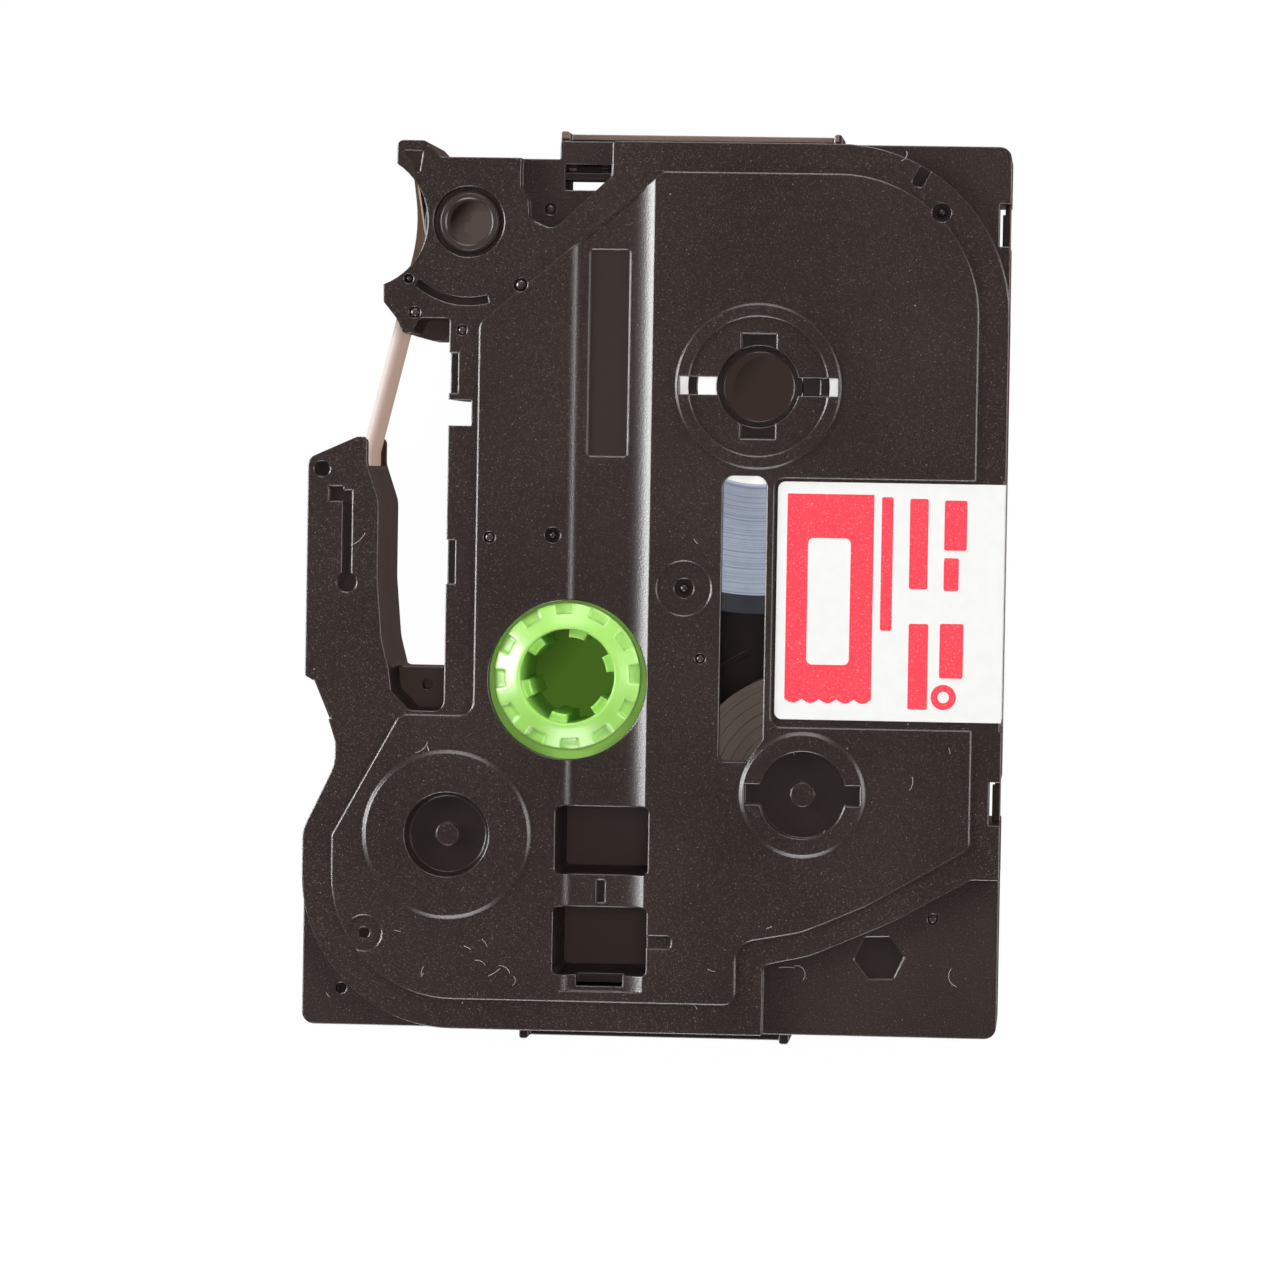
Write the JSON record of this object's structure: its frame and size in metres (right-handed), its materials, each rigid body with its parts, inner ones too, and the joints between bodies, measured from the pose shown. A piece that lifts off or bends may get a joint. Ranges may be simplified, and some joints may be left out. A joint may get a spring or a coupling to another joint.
{
  "type": "label tape cassette",
  "caption": "Flat stepped cassette that holds laminated label tape on reels and lets it out past a drive roller and across a print head gap.",
  "frame": {"origin": "under the middle of the case, on the plane that the case lies on", "axes": "+Z out of the labelled face, +Y towards the roller head, -X towards the tape arm"},
  "size_m": [0.0608, 0.0794, 0.0163],
  "materials": {
    "case": "moulded black-brown plastic with a fine texture",
    "label": "coated white label stock, printed in flat fields",
    "roller": "dark hard plastic",
    "green_plastic": "bright green moulded plastic",
    "spring": "spring wire",
    "ribbon": "thin black ink ribbon",
    "white_plastic": "white moulded plastic",
    "base_tape": "wound backed tape seen on edge",
    "spacer": "thin slippery film",
    "film": "clear film wound on a spool",
    "guide": "smooth metal sleeve"
  },
  "bodies": {
    "case": {"lower_case": "case", "upper_case": "case", "label": "label", "take_up_clutch_spring": "spring", "film_tape_run": "film", "base_tape_run": "base_tape", "ink_ribbon_run": "ribbon"},
    "drive_roller": {"drive_roller": "roller"},
    "take_up": {"take_up_spool": "green_plastic", "taken_up_ribbon": "ribbon"},
    "ribbon_supply": {"ribbon_supply_spool": "white_plastic", "ink_ribbon_roll": "ribbon"},
    "base_tape": {"base_tape_spool": "white_plastic", "base_tape_roll": "base_tape", "base_tape_lower_spacer": "spacer", "base_tape_upper_spacer": "spacer"},
    "film_tape": {"film_tape_spool": "white_plastic", "film_tape_roll": "film"},
    "guide_roller": {"film_guide_roller": "guide"}
  },
  "joints": [
    {"name": "drive_roller_spin", "type": "hinge", "parent": "case", "child": "drive_roller", "pos_m": [-0.01667, 0.03182, 0.0078], "axis": [0, 0, 1], "continuous": true},
    {"name": "take_up_spin", "type": "hinge", "parent": "case", "child": "take_up", "pos_m": [-0.0074, -0.00762, 0.0078], "axis": [0, 0, 1], "continuous": true},
    {"name": "ribbon_supply_spin", "type": "hinge", "parent": "case", "child": "ribbon_supply", "pos_m": [-0.01774, -0.02164, 0.0078], "axis": [0, 0, 1], "continuous": true},
    {"name": "base_tape_spin", "type": "hinge", "parent": "case", "child": "base_tape", "pos_m": [0.00883, 0.01787, 0.0078], "axis": [0, 0, 1], "continuous": true},
    {"name": "film_tape_spin", "type": "hinge", "parent": "case", "child": "film_tape", "pos_m": [0.01327, -0.01757, 0.0078], "axis": [0, 0, 1], "continuous": true},
    {"name": "guide_roller_spin", "type": "hinge", "parent": "case", "child": "guide_roller", "pos_m": [-0.02489, -0.03042, 0.0078], "axis": [0, 0, 1], "continuous": true}
  ]
}
